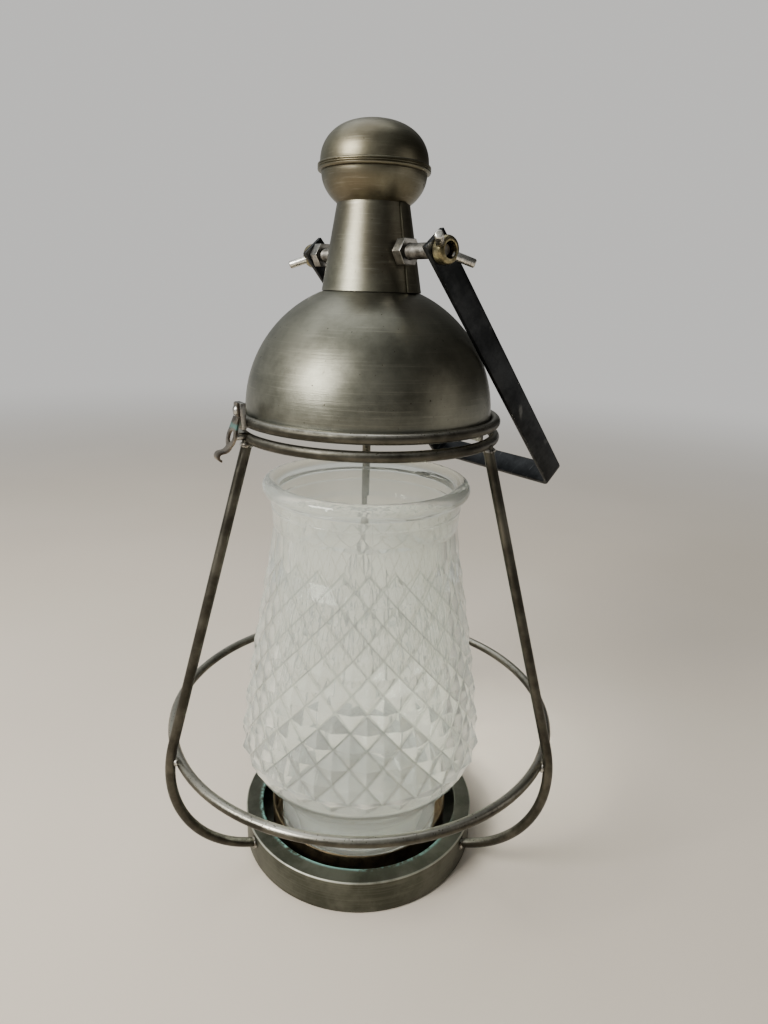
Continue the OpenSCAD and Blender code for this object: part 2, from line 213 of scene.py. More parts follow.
def turned(name, outline, sides=96, crease=30, closed=True, turn=0.0):
    """A ring of sheet or a solid turned about Z, from (radius, height) points round its section."""
    clear_selection()
    bpy.ops.mesh.primitive_circle_add(
        vertices=sides, radius=outline[0][0], location=(0, 0, outline[0][1]), rotation=(0, 0, turn))
    piece = bpy.context.object
    piece.name = name
    apply_place(piece)
    bpy.ops.object.mode_set(mode="EDIT")
    bpy.ops.mesh.select_all(action="SELECT")
    for (r0, z0), (r1, z1) in zip(outline, outline[1:] + outline[:1] * closed):
        bpy.ops.mesh.extrude_edges_move(TRANSFORM_OT_translate={"value": (0, 0, z1 - z0)})
        bpy.ops.transform.resize(value=(r1 / r0, r1 / r0, 1), center_override=(0, 0, 0))
    bpy.ops.mesh.select_all(action="SELECT")
    bpy.ops.mesh.remove_doubles(threshold=POLE * 4)
    bpy.ops.mesh.normals_make_consistent(inside=False)
    smooth(piece, crease)
    return piece


def arc(centre_r, centre_z, radius, first, last, steps):
    """(radius, height) points on an arc, its angles in degrees from the outward direction."""
    angles = [radians(first + (last - first) * i / steps) for i in range(steps + 1)]
    return [(centre_r + radius * cos(a), centre_z + radius * sin(a)) for a in angles]


def place_piece(piece, finish, body, slot, *nodes):
    """Gives a finished piece its material and its body, and hides the CAD nodes it stands for; slot is not
    used.
    """
    piece.data.materials.clear()
    piece.data.materials.append(finish)
    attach(piece, body)
    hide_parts(*nodes)


POLE = 0.00001
pan_low, pan_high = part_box("base_shell")
PAN_R = pan_high.x
PAN_TOP = pan_high.z
PAN_SHEET = pan_low.z
PAN_HOLE_R = 0.0685
PAN_EDGE = 0.0009
VERDIGRIS = (0.21, 0.43, 0.38, 1)

pan_steel, pan_shader, wire = new_finish("pan_steel", Metallic=0.85)
place = wire.node("TexCoord", output=3)
axes = wire.node("SeparateXYZ", inputs={"Vector": place}).socket.node
x, y, z = (Wire(wire.tree, axes.outputs[i]) for i in range(3))
radius = wire.maths("SQRT", x * x + y * y)
broad = wire.node("TexNoise", inputs={"Vector": place, "Scale": 28.0, "Detail": 6.0, "Roughness": 0.65})
fine = wire.node("TexNoise", inputs={"Vector": place, "Scale": 420.0, "Detail": 4.0})
around = wire.node("TexNoise", inputs={
    "Vector": wire.node("CombineXYZ", inputs={"X": x * 6, "Y": y * 6, "Z": z * 300}),
    "Scale": 3.0, "Detail": 5.0})
grey = broad.rise(0.36, 0.66).blend((0.048, 0.050, 0.036, 1), (0.115, 0.118, 0.092, 1))
grey = (around.rise(0.45, 0.75) * 0.22).blend(grey, (0.20, 0.20, 0.16, 1))
rub = broad.rise(0.3, 0.55)
# Painted highlight: a thin bright band round the outer top edge, made patchy by the rub noise.
edge_highlight = z.rise(PAN_TOP - 0.0012, PAN_TOP - 0.0005) * radius.rise(PAN_R - 0.0011, PAN_R - 0.0005)
grey = (edge_highlight * (0.25 + rub * 0.6)).blend(grey, (0.52, 0.52, 0.44, 1))
hole_side = (x * -0.8 + y * -0.6).rise(-0.01, 0.04)
hole_edge = (radius + broad * 0.004).rise(PAN_HOLE_R + 0.0050, PAN_HOLE_R + 0.0028)
hole_edge = hole_edge * z.rise(PAN_TOP - 0.004, PAN_TOP - 0.002)
stain = hole_edge * hole_side * (broad + fine * 0.35).rise(0.60, 0.74)
wire.feed(pan_shader.inputs["Base Color"], stain.blend(grey, VERDIGRIS))
wire.feed(pan_shader.inputs["Metallic"], 0.85 - stain * 0.75)
wire.feed(pan_shader.inputs["Roughness"], 0.36 + broad * 0.22 + stain * 0.3)
wire.feed(pan_shader.inputs["Normal"], wire.node(
    "Bump", inputs={"Strength": 0.25, "Distance": 0.0004, "Height": fine + broad * 2 + stain * 2}))

pan_outline = [(PAN_R - PAN_SHEET, PAN_SHEET), (PAN_R, PAN_SHEET)]
pan_outline += arc(PAN_R - PAN_EDGE, PAN_TOP - PAN_EDGE, PAN_EDGE, 0, 90, 6)
pan_outline += [(PAN_HOLE_R + 0.0006, PAN_TOP), (PAN_HOLE_R, PAN_TOP - 0.0005)]
pan_outline += [(PAN_HOLE_R, PAN_TOP - PAN_SHEET), (PAN_R - PAN_SHEET, PAN_TOP - PAN_SHEET)]
pan = turned("pan_side", pan_outline, sides=128)
place_piece(pan, pan_steel, "stand", "dull_steel", "base_shell")

FLOOR_EDGE = 0.0005
pan_floor = turned("pan_floor", [
    (POLE, 0), (PAN_R - FLOOR_EDGE * 2, 0), (PAN_R - FLOOR_EDGE, FLOOR_EDGE),
    (PAN_R - FLOOR_EDGE, PAN_SHEET), (POLE, PAN_SHEET)], sides=128, closed=False)
place_piece(pan_floor, pan_steel, "stand", "dull_steel", "base_floor")


# ---- jar dish ----
# A pressed brass dish, gone brown, that stands in the pan and centres the jar's foot. Its floor
# is raised above the pan's and its lip is rounded.

dish_low, dish_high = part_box("jar_dish")
DISH_R = dish_high.x
DISH_SHEET = 0.0012
DISH_FLOOR = 0.006
DISH_CORNER = 0.003
DISH_INNER_CORNER = 0.002
DISH_LIP = 0.0006

brown_brass, dish_shader, wire = new_finish("brown_brass", Metallic=1.0)
place = wire.node("TexCoord", output=3)
cloud = wire.node("TexNoise", inputs={"Vector": place, "Scale": 45.0, "Detail": 6.0, "Roughness": 0.7})
speck = wire.node("TexNoise", inputs={"Vector": place, "Scale": 600.0, "Detail": 3.0})
tone = cloud.rise(0.35, 0.68).blend((0.075, 0.060, 0.040, 1), (0.22, 0.165, 0.095, 1))
wire.feed(dish_shader.inputs["Base Color"], tone)
wire.feed(dish_shader.inputs["Roughness"], 0.30 + cloud * 0.25)
wire.feed(dish_shader.inputs["Normal"], wire.node(
    "Bump", inputs={"Strength": 0.2, "Distance": 0.0003, "Height": speck + cloud}))

dish_outline = [(POLE, DISH_FLOOR)]
dish_outline += arc(DISH_R - DISH_SHEET - DISH_CORNER, DISH_FLOOR - DISH_CORNER, DISH_CORNER, 90, 0, 5)
dish_outline += [(DISH_R - DISH_SHEET, dish_low.z), (DISH_R, dish_low.z)]
dish_outline += arc(DISH_R - DISH_LIP, dish_high.z - DISH_LIP, DISH_LIP, 0, 180, 6)
dish_outline += arc(DISH_R - DISH_SHEET - DISH_INNER_CORNER, DISH_FLOOR + DISH_SHEET + DISH_INNER_CORNER,
                    DISH_INNER_CORNER, 0, -90, 4)
dish_outline += [(POLE, DISH_FLOOR + DISH_SHEET)]
dish = turned("jar_dish_pressing", dish_outline, sides=96, closed=False)
place_piece(dish, brown_brass, "stand", "brown_brass", "jar_dish")


# ---- glass jar ----
# Clear pressed glass, faintly green: a round foot, a waist, a belly of raised four-sided
# diamonds that end in arches under a plain neck, and a thick fire-polished bead at the mouth.

jar_low, jar_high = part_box("glass_jar")
JAR_BELLY_R = jar_high.x
JAR_FOOT_R = 0.055
JAR_NECK_R = 0.0584
JAR_BEAD_R = 0.0049
JAR_WALL = 0.0044
JAR_FLOOR = 0.006
FOOT_TOP = 0.027
BELLY_AT = 0.072
SHOULDER_AT = 0.215
TAPER_POWER = 1.2
DIAMONDS_AROUND = 24
PATTERN_TURN = radians(2.3)
TIP_ROW = 0.0662
CORNER_ROW = 0.0730
FIRST_ROW = 0.0847
ROW_STEP = 0.0118
ROW_SHRINK = 0.978
ROWS = 12
ARCH_TOP = 0.2235
ARCH_BULGE = 0.0026
GROOVE_WIDTH = 0.00035
GROOVE_DEPTH = 0.0027
GROOVE_DEPTH_LOST = 0.0016
JAR_FOOT_CORNER = 0.0045
JAR_INNER_CORNER = 0.010


def jar_radius(h):
    """Outer radius of the diamonds' tops at a height above the jar's underside."""
    if h < FOOT_TOP:
        return JAR_FOOT_R
    if h < BELLY_AT:
        swell = (1 + cos(pi * (BELLY_AT - h) / (BELLY_AT - FOOT_TOP))) / 2
        return JAR_FOOT_R + (JAR_BELLY_R - JAR_FOOT_R) * swell
    taper = max(0.0, min(1.0, (h - BELLY_AT) / (SHOULDER_AT - BELLY_AT)))
    return JAR_BELLY_R - (JAR_BELLY_R - JAR_NECK_R) * taper ** TAPER_POWER


def groove_depth(h):
    """How far the grooves lie below the diamonds' tops: deepest at the belly, none at the foot."""
    if h < BELLY_AT:
        return GROOVE_DEPTH * max(0.0, (h - FOOT_TOP) / (BELLY_AT - FOOT_TOP))
    return GROOVE_DEPTH - GROOVE_DEPTH_LOST * min(1.0, (h - BELLY_AT) / (SHOULDER_AT - BELLY_AT))


def groove_radius(h):
    return jar_radius(h) - groove_depth(h) * (h < ARCH_TOP + 0.001)


rows = [TIP_ROW, CORNER_ROW, FIRST_ROW]
for n in range(ROWS):
    rows.append(rows[-1] + ROW_STEP * ROW_SHRINK ** n)
rows.append(ARCH_TOP)
waist = [0.009, 0.018, 0.027, 0.031, 0.035, 0.039, 0.043, 0.047, 0.051, 0.055, 0.059, 0.063]
bead_r, bead_z = JAR_NECK_R + 0.0005, jar_high.z - JAR_BEAD_R
base_z = jar_low.z
jar_outline = [(POLE, base_z + 0.0012), (0.030, base_z + 0.0012), (0.040, base_z + 0.0004)]
jar_outline += arc(JAR_FOOT_R - JAR_FOOT_CORNER, base_z + JAR_FOOT_CORNER, JAR_FOOT_CORNER, -90, -10, 8)
jar_outline += [(groove_radius(h), base_z + h) for h in waist + rows]
jar_outline += [(JAR_NECK_R - 0.0004, base_z + h) for h in (0.2265, 0.2300)]
jar_outline += [(JAR_NECK_R, base_z + h) for h in (0.2338, 0.2350)]
jar_outline += [(JAR_NECK_R + 0.0005, base_z + 0.2356), (JAR_NECK_R, base_z + 0.2363)]
jar_outline += [(JAR_NECK_R, bead_z - 0.0062), (JAR_NECK_R + 0.0004, bead_z - 0.0052)]
jar_outline += arc(bead_r, bead_z, JAR_BEAD_R, -72, 180, 26)
inner_heights = [0.232, 0.2235] + rows[-2:0:-1] + waist[:2:-1]
jar_outline += [(min(JAR_NECK_R, groove_radius(h) + 0.0005) - JAR_WALL if h > 0.2
                 else groove_radius(h) - 0.0030, base_z + h) for h in inner_heights]
jar_outline += arc(JAR_FOOT_R - JAR_WALL - JAR_INNER_CORNER, base_z + JAR_FLOOR + JAR_INNER_CORNER,
                   JAR_INNER_CORNER, 0, -90, 8)
jar_outline += [(POLE, base_z + JAR_FLOOR)]
jar = turned("pressed_jar", jar_outline, sides=DIAMONDS_AROUND * 2, crease=14, closed=False,
             turn=PATTERN_TURN)


def pick(piece, wanted):
    """In edit mode, selects only the vertices for which wanted(place) is true."""
    bpy.ops.mesh.select_all(action="DESELECT")
    mesh = bmesh.from_edit_mesh(piece.data)
    for vertex in mesh.verts:
        if wanted(vertex.co):
            vertex.select_set(True)
    mesh.select_flush(True)
    bmesh.update_edit_mesh(piece.data)


def jar_column(place):
    """Which of the 48 columns of vertices a place is on."""
    return round((atan2(place.y, place.x) - PATTERN_TURN) / (pi / DIAMONDS_AROUND)) % (DIAMONDS_AROUND * 2)


def jar_row(place):
    """Which row of the pattern an outer place is on, or None."""
    for n, h in enumerate(rows):
        if abs(place.z - base_z - h) < 0.0004 and abs(hypot(place.x, place.y) - groove_radius(h)) < 0.0004:
            return n
    return None


def is_groove(place):
    row = jar_row(place)
    return row is not None and (row + jar_column(place)) % 2 == 0


def is_diamond_top(place, row):
    return jar_row(place) == row and (row + jar_column(place)) % 2 == 1


clear_selection()
bpy.context.view_layer.objects.active = jar
bpy.ops.object.mode_set(mode="EDIT")
bpy.ops.mesh.select_mode(type="VERT")
pick(jar, is_groove)
bpy.ops.mesh.vert_connect()
for row in range(1, len(rows) - 1):
    pick(jar, lambda place: is_diamond_top(place, row))
    lift = jar_radius(rows[row]) / groove_radius(rows[row])
    bpy.ops.transform.resize(value=(lift, lift, 1), center_override=(0, 0, 0))
bpy.ops.mesh.select_all(action="DESELECT")
side_row, top_row = len(rows) - 2, len(rows) - 1
arches = bmesh.from_edit_mesh(jar.data)
for edge in arches.edges:
    ends = [v.co for v in edge.verts]
    if {jar_row(p) for p in ends} == {side_row, top_row} and all(is_groove(p) for p in ends):
        edge.select_set(True)
bmesh.update_edit_mesh(jar.data)
bpy.ops.mesh.subdivide(number_cuts=3)
side_z, top_z = base_z + rows[side_row], base_z + rows[top_row]
for share, bulge in ((0.25, 0.8), (0.5, 1.0), (0.75, 0.7)):
    level = side_z + (top_z - side_z) * share
    pick(jar, lambda place: abs(place.z - level) < 0.0002 and hypot(place.x, place.y) > JAR_NECK_R - 0.0025)
    bpy.ops.transform.translate(value=(0, 0, ARCH_BULGE * bulge))
bpy.ops.object.mode_set(mode="OBJECT")
moulded = jar.modifiers.new("moulded_edges", "BEVEL")
moulded.width = GROOVE_WIDTH
moulded.limit_method = "ANGLE"
moulded.angle_limit = radians(14)
bpy.ops.object.modifier_apply(modifier=moulded.name)
smooth(jar, 9)

jar_glass, glass_shader, wire = new_finish("jar_glass", Transmission_Weight=0.87, IOR=1.42)
place = wire.node("TexCoord", output=3)
ripple = wire.node("TexNoise", inputs={"Vector": place, "Scale": 55.0, "Detail": 2.0})
dust = wire.node("TexNoise", inputs={"Vector": place, "Scale": 300.0, "Detail": 5.0})
x, y, z = (wire.node("SeparateXYZ", inputs={"Vector": place}, output=axis) for axis in range(3))
# Painted shade: the glass is drawn darker along each groove of the diamond lattice so that the lattice
# shows.
column = (wire.maths("ARCTAN2", y, x) - PATTERN_TURN) / (pi / DIAMONDS_AROUND)
climbed = 1 - (z - base_z - FIRST_ROW) * ((1 - ROW_SHRINK) / ROW_STEP)
row = 2 + wire.maths("LOGARITHM", climbed, ROW_SHRINK)
falling = wire.maths("ABSOLUTE", wire.maths("FRACT", (row + column) / 2) - 0.5)
rising = wire.maths("ABSOLUTE", wire.maths("FRACT", (row - column) / 2) - 0.5)
groove_shade = wire.maths("MAXIMUM", falling, rising).rise(0.425, 0.495)
groove_shade = groove_shade * z.rise(base_z + CORNER_ROW - 0.002, base_z + CORNER_ROW)
groove_shade = groove_shade * z.rise(base_z + rows[-2] + 0.001, base_z + rows[-2])
clear = ripple.rise(0.3, 0.7).blend((0.86, 0.89, 0.84, 1), (0.89, 0.915, 0.87, 1))
wire.feed(glass_shader.inputs["Base Color"], (groove_shade * 0.8).blend(clear, (0.50, 0.53, 0.49, 1)))
wire.feed(glass_shader.inputs["Roughness"], 0.035 + dust.rise(0.5, 0.8) * 0.05)
wire.feed(glass_shader.inputs["Normal"], wire.node(
    "Bump", inputs={"Strength": 0.12, "Distance": 0.001, "Height": ripple}))
jar.visible_shadow = False
place_piece(jar, jar_glass, "jar", "pressed_glass", "glass_jar")


# ---- rod frame ----
# Three 6 mm steel rods, straight from the lower ring down to a wide bend in to the pan, with a
# rod hoop welded inside them. Old brown-black skin, worn to bright metal in patches, with a painted
# highlight along the tops.

ROD_R = 0.003
ROD_SIDES = 20
RING_STEPS = 144
RING_MERGE = 0.00002
FOOT_BEAD, HOOP_BEAD, UNDER_BEAD, TOP_BEAD = 0.0036, 0.0021, 0.0020, 0.0040
ring_low, ring_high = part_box("lower_ring")
hoop_low, hoop_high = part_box("hoop")
leg_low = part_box("leg_latch_side")[0]
RING_R = ring_high.x - ROD_R
RING_Z = (ring_low.z + ring_high.z) / 2
HOOP_R = hoop_high.x - ROD_R
HOOP_Z = (hoop_low.z + hoop_high.z) / 2
BEND_R = 0.078
BEND_Z = 0.090
LEG_TOP_R = RING_R + 0.0015
bend_x = -leg_low.x - ROD_R - BEND_R
leg_top = Vector((LEG_TOP_R, RING_Z - ROD_R))
reach = leg_top - Vector((bend_x, BEND_Z))
leg_lean = atan2(reach.y, reach.x) - acos(BEND_R / reach.length)
leg_length = sqrt(reach.length ** 2 - BEND_R ** 2)
leg_foot = -acos((PAN_R - 0.0008 - bend_x) / BEND_R)

rod_steel, rod_shader, wire = new_finish("rod_steel", Metallic=1.0)
coords = wire.tree.nodes.new("ShaderNodeTexCoord")
place, facing = Wire(wire.tree, coords.outputs[3]), Wire(wire.tree, coords.outputs[1])
axes = wire.node("SeparateXYZ", inputs={"Vector": facing}).socket.node
up = Wire(wire.tree, axes.outputs[2])
cloud = wire.node("TexNoise", inputs={"Vector": place, "Scale": 38.0, "Detail": 7.0, "Roughness": 0.62})
pits = wire.node("TexVoronoi", inputs={"Vector": place, "Scale": 520.0})
grain = wire.node("TexNoise", inputs={"Vector": place, "Scale": 700.0, "Detail": 3.0})
skin = cloud.rise(0.36, 0.66).blend((0.040, 0.037, 0.029, 1), (0.110, 0.103, 0.082, 1))
# Painted highlight on the sides that face up, mixed with patchy wear to bright metal.
wear_and_top_highlight = (up.rise(0.0, 0.95) * 0.7 + cloud * 0.9 + grain * 0.25).rise(0.80, 1.45)
pit = pits.rise(0.22, 0.12)
bright = wear_and_top_highlight * (1 - pit)
wire.feed(rod_shader.inputs["Base Color"], bright.blend(skin, (0.47, 0.45, 0.385, 1)))
wire.feed(rod_shader.inputs["Roughness"], 0.36 - bright * 0.12 + grain * 0.10)
wire.feed(rod_shader.inputs["Normal"], wire.node(
    "Bump", inputs={"Strength": 0.35, "Distance": 0.0003, "Height": grain * 0.4 + cloud - pit * 0.5}))

weld_metal, weld_shader, wire = new_finish("weld_metal", Metallic=1.0)
place = wire.node("TexCoord", output=3)
lumps = wire.node("TexNoise", inputs={"Vector": place, "Scale": 420.0, "Detail": 4.0})
wire.feed(weld_shader.inputs["Base Color"],
          lumps.rise(0.4, 0.62).blend((0.10, 0.09, 0.075, 1), (0.62, 0.60, 0.55, 1)))
wire.feed(weld_shader.inputs["Roughness"], 0.25 + lumps * 0.3)
wire.feed(weld_shader.inputs["Normal"], wire.node(
    "Bump", inputs={"Strength": 0.5, "Distance": 0.0006, "Height": lumps}))


def rod_ring(name, radius, height):
    """A ring of rod: one round section spun about the lantern's axis."""
    clear_selection()
    bpy.ops.mesh.primitive_circle_add(
        vertices=ROD_SIDES, radius=ROD_R, location=(radius, 0, height), rotation=(pi / 2, 0, 0))
    ring = bpy.context.object
    ring.name = name
    apply_place(ring)
    bpy.ops.object.mode_set(mode="EDIT")
    bpy.ops.mesh.select_all(action="SELECT")
    bpy.ops.mesh.spin(steps=RING_STEPS, angle=2 * pi, center=(0, 0, 0), axis=(0, 0, 1))
    bpy.ops.mesh.select_all(action="SELECT")
    bpy.ops.mesh.remove_doubles(threshold=RING_MERGE)
    bpy.ops.mesh.normals_make_consistent(inside=False)
    smooth(ring, 40)
    return ring


def weld_bead(place, size, stretch=(1, 1, 1)):
    """A small uneven lump of weld."""
    clear_selection()
    bpy.ops.mesh.primitive_uv_sphere_add(segments=16, ring_count=10, radius=size, location=place,
                                         scale=stretch)
    bead = bpy.context.object
    bpy.ops.object.mode_set(mode="EDIT")
    bpy.ops.mesh.select_all(action="SELECT")
    bpy.ops.transform.vertex_random(offset=size * 0.12, uniform=0.5, normal=0.6, seed=7)
    apply_place(bead)
    smooth(bead, 60)
    return bead


def joined(pieces, name):
    """Joins pieces into the first one, as one welded piece."""
    clear_selection()
    for piece in pieces:
        piece.select_set(True)
    bpy.context.view_layer.objects.active = pieces[0]
    bpy.ops.object.join()
    pieces[0].name = name
    return pieces[0]


hoop = rod_ring("hoop_rod", HOOP_R, HOOP_Z)
place_piece(hoop, rod_steel, "stand", "rod_steel", "hoop")
lower_ring = rod_ring("lower_ring_rod", RING_R, RING_Z)
place_piece(lower_ring, rod_steel, "stand", "rod_steel", "lower_ring")

leg_names = {"leg_latch_side": 180, "leg_front": -60, "leg_rear": 60}
for node, angle in leg_names.items():
    clear_selection()
    bpy.ops.mesh.primitive_circle_add(
        vertices=ROD_SIDES, radius=ROD_R, fill_type="NGON",
        location=(bend_x + BEND_R * cos(leg_foot), 0, BEND_Z + BEND_R * sin(leg_foot)),
        rotation=(0, -leg_foot, 0))
    leg = bpy.context.object
    apply_place(leg)
    bpy.ops.object.mode_set(mode="EDIT")
    bpy.ops.mesh.select_all(action="SELECT")
    bpy.ops.mesh.spin(steps=40, angle=leg_lean - leg_foot, center=(bend_x, 0, BEND_Z), axis=(0, 1, 0))
    top_end = leg_length + ROD_R * 0.7
    bpy.ops.mesh.extrude_region_move(TRANSFORM_OT_translate={
        "value": (-sin(leg_lean) * top_end, 0, cos(leg_lean) * top_end)})
    bpy.ops.mesh.select_all(action="SELECT")
    bpy.ops.mesh.normals_make_consistent(inside=False)
    smooth(leg, 40)
    place_piece(leg, rod_steel, "stand", "rod_steel", node)
    leg.parent = None
    foot_bead = weld_bead((PAN_R + 0.0004, 0, BEND_Z + BEND_R * sin(leg_foot)), FOOT_BEAD, (0.45, 1.15, 1.1))
    hoop_bead = weld_bead((HOOP_R + ROD_R, 0.0016, HOOP_Z + 0.0012), HOOP_BEAD, (0.8, 1.3, 1.2))
    under_bead = weld_bead((HOOP_R + ROD_R, -0.0018, HOOP_Z - 0.0014), UNDER_BEAD, (0.8, 1.2, 1.3))
    top_bead = weld_bead((LEG_TOP_R, 0, RING_Z - ROD_R), TOP_BEAD, (0.95, 1.05, 0.40))
    for bead in (foot_bead, hoop_bead, under_bead, top_bead):
        bead.data.materials.append(weld_metal)
    leg = joined([leg, foot_bead, hoop_bead, under_bead, top_bead], node + "_rod")
    leg.rotation_euler.z = radians(angle)
    apply_place(leg)
    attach(leg, "stand")


# ---- lid: ring and dome ----
# A rod ring under a spun brass hemisphere, brushed round and dulled to olive, with a straight
# lip, a blue-grey bloom along the lower edge and a few dark scratches.

upper_low, upper_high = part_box("upper_ring")
upper_ring = rod_ring("upper_ring_rod", RING_R, (upper_low.z + upper_high.z) / 2)
place_piece(upper_ring, rod_steel, "lid", "rod_steel", "upper_ring")

dome_low, dome_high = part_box("dome")
DOME_R = dome_high.x
DOME_LIP = 0.004
LID_SHEET = 0.001
dome_z = dome_low.z + DOME_LIP
chimney_low, chimney_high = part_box("chimney")
CHIMNEY_LOW_R = chimney_high.x
CHIMNEY_TOP_R = 0.020
dome_hole = degrees(acos((CHIMNEY_LOW_R - LID_SHEET) / DOME_R))


def brushed_brass(name, dull, bright, shade, bloom_z=None):
    """Old brass brushed round the axis: fine rings of light and dark, clouds of brown, dark specks."""
    material, shader, wire = new_finish(name, Metallic=1.0)
    place = wire.node("TexCoord", output=3)
    axes = wire.node("SeparateXYZ", inputs={"Vector": place}).socket.node
    x, y, z = (Wire(wire.tree, axes.outputs[i]) for i in range(3))
    radius = wire.maths("SQRT", x * x + y * y)
    lines = wire.node("TexNoise", inputs={
        "Vector": wire.node("CombineXYZ", inputs={"X": radius * 900, "Y": z * 900,
                                                  "Z": wire.maths("ARCTAN2", y, x) * 1.3}),
        "Scale": 1.0, "Detail": 4.0, "Roughness": 0.7})
    cloud = wire.node("TexNoise", inputs={"Vector": place, "Scale": 22.0, "Detail": 8.0, "Roughness": 0.68})
    patch = wire.node("TexNoise", inputs={"Vector": place, "Scale": 9.0, "Detail": 3.0})
    speck = wire.node("TexNoise", inputs={"Vector": place, "Scale": 520.0, "Detail": 2.0})
    scratch = wire.node("TexNoise", inputs={
        "Vector": wire.node("Mapping", inputs={"Vector": place, "Rotation": (0.5, 0.9, 0.3),
                                               "Scale": (30, 900, 120)}), "Scale": 1.0})
    tone = cloud.rise(0.35, 0.68).blend(dull, bright)
    tone = (patch.rise(0.50, 0.68) * 0.75).blend(tone, shade)
    tone = (lines.rise(0.52, 0.78) * 0.30).blend(tone, (0.42, 0.40, 0.325, 1))
    mark = (speck.rise(0.70, 0.78) + scratch.rise(0.74, 0.80) * 0.6).rise(0.0, 1.0)
    tone = (mark * 0.75).blend(tone, (0.035, 0.028, 0.02, 1))
    rough = 0.27 + cloud * 0.12 + lines * 0.10 + mark * 0.2
    if bloom_z is not None:
        bloom = (z + cloud * 0.010).rise(bloom_z + 0.0115, bloom_z + 0.0055)
        tone = (bloom * 0.75).blend(tone, (0.17, 0.19, 0.19, 1))
        rough = rough + bloom * 0.14
    wire.feed(shader.inputs["Base Color"], tone)
    wire.feed(shader.inputs["Roughness"], rough)
    wire.feed(shader.inputs["Normal"], wire.node("Bump", inputs={
        "Strength": 0.22, "Distance": 0.0003, "Height": lines + cloud * 0.8 - mark * 0.4}))
    return material


dome_brass = brushed_brass(
    "dome_brass", (0.128, 0.126, 0.098, 1), (0.235, 0.230, 0.184, 1), (0.112, 0.096, 0.072, 1), dome_low.z)
dome_outline = [(DOME_R, dome_low.z + 0.0004)]
dome_outline += arc(0, dome_z, DOME_R, 0, dome_hole, 26)
dome_outline += arc(0, dome_z, DOME_R - LID_SHEET, dome_hole, 0, 26)
dome_outline += [(DOME_R - LID_SHEET, dome_low.z + 0.0004), (DOME_R - LID_SHEET / 2, dome_low.z)]
dome = turned("dome_spinning", dome_outline, sides=144, crease=35)
place_piece(dome, dome_brass, "lid", "old_brass", "dome")


# ---- chimney ----
# A cone rolled from the same brass sheet and closed by an upright lap seam. Its foot stands on
# the edge of the dome's hole.

SEAM_AT = radians(-61)
SEAM_LAP = radians(17)
SEAM_STEP = radians(3)
chimney_brass = brushed_brass(
    "chimney_brass", (0.138, 0.134, 0.100, 1), (0.27, 0.263, 0.203, 1), (0.105, 0.090, 0.064, 1))
clear_selection()
chimney_height = chimney_high.z - chimney_low.z
bpy.ops.mesh.primitive_plane_add(
    size=1, rotation=(pi / 2, 0, 0),
    location=(CHIMNEY_LOW_R - LID_SHEET / 2, 0, chimney_low.z + chimney_height / 2))
chimney = bpy.context.object
chimney.name = "chimney_cone"
chimney.scale = (LID_SHEET, chimney_height, 1)
apply_place(chimney)
bpy.ops.object.mode_set(mode="EDIT")
bpy.ops.mesh.select_mode(type="VERT")
pick(chimney, lambda place: place.z > chimney_high.z - 0.001)
bpy.ops.transform.translate(value=(CHIMNEY_TOP_R - CHIMNEY_LOW_R, 0, 0))
bpy.ops.mesh.select_all(action="SELECT")
bpy.ops.mesh.spin(steps=112, angle=2 * pi - SEAM_STEP, center=(0, 0, 0), axis=(0, 0, 1))
bpy.ops.mesh.spin(steps=2, angle=SEAM_STEP, center=(0, 0, 0), axis=(0, 0, 1))
lap = 1 + (LID_SHEET + 0.0001) / CHIMNEY_LOW_R * 1.15
bpy.ops.transform.resize(value=(lap, lap, 1), center_override=(0, 0, 0))
bpy.ops.mesh.spin(steps=6, angle=SEAM_LAP, center=(0, 0, 0), axis=(0, 0, 1))
bpy.ops.mesh.select_all(action="SELECT")
bpy.ops.mesh.normals_make_consistent(inside=False)
bpy.ops.object.mode_set(mode="OBJECT")
chimney.rotation_euler.z = SEAM_AT
apply_place(chimney)
smooth(chimney, 30)
place_piece(chimney, chimney_brass, "lid", "old_brass", "chimney")


# ---- finial ----
# Three spun brass shells: a bowl on the chimney, a thin flange with two fine lines round its
# lip, and a flat-topped cap.

finial_brass = brushed_brass(
    "finial_brass", (0.128, 0.120, 0.082, 1), (0.235, 0.222, 0.160, 1), (0.118, 0.090, 0.058, 1))
bowl_low, bowl_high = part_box("finial_bowl")
BOWL_R = bowl_high.x
bowl_h = bowl_high.z - bowl_low.z
BOWL_STEPS = 12


def bowl_radius(share):
    """An ellipse from the chimney's top out to the flange."""
    return sqrt(BOWL_R ** 2 - (BOWL_R ** 2 - CHIMNEY_TOP_R ** 2) * (1 - share) ** 2)


shares = [n / BOWL_STEPS for n in range(BOWL_STEPS + 1)]
bowl_outline = [(bowl_radius(s), bowl_low.z + s * bowl_h) for s in shares]
bowl_outline += [(bowl_radius(s) - LID_SHEET, bowl_low.z + s * bowl_h) for s in reversed(shares)]
bowl = turned("finial_bowl_spinning", bowl_outline)
place_piece(bowl, finial_brass, "lid", "old_brass", "finial_bowl")

flange_low, flange_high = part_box("finial_flange")
FLANGE_R = flange_high.x
FLANGE_EDGE = 0.0010
LINE = 0.00035
flange_h = flange_high.z - flange_low.z
flange_outline = [(BOWL_R - LID_SHEET * 2, flange_low.z)]
flange_outline += arc(FLANGE_R - FLANGE_EDGE, flange_low.z + 0.0012, FLANGE_EDGE, -90, 0, 5)
for share in (0.42, 0.66):
    line_z = flange_low.z + flange_h * share
    flange_outline += [(FLANGE_R, line_z - LINE), (FLANGE_R - LINE * 1.4, line_z), (FLANGE_R, line_z + LINE)]
flange_outline += arc(FLANGE_R - FLANGE_EDGE, flange_high.z - 0.0011, FLANGE_EDGE, 0, 90, 5)
flange_outline += [(BOWL_R - LID_SHEET * 2, flange_high.z)]
flange = turned("finial_flange_spinning", flange_outline, crease=25)
place_piece(flange, finial_brass, "lid", "old_brass", "finial_flange")

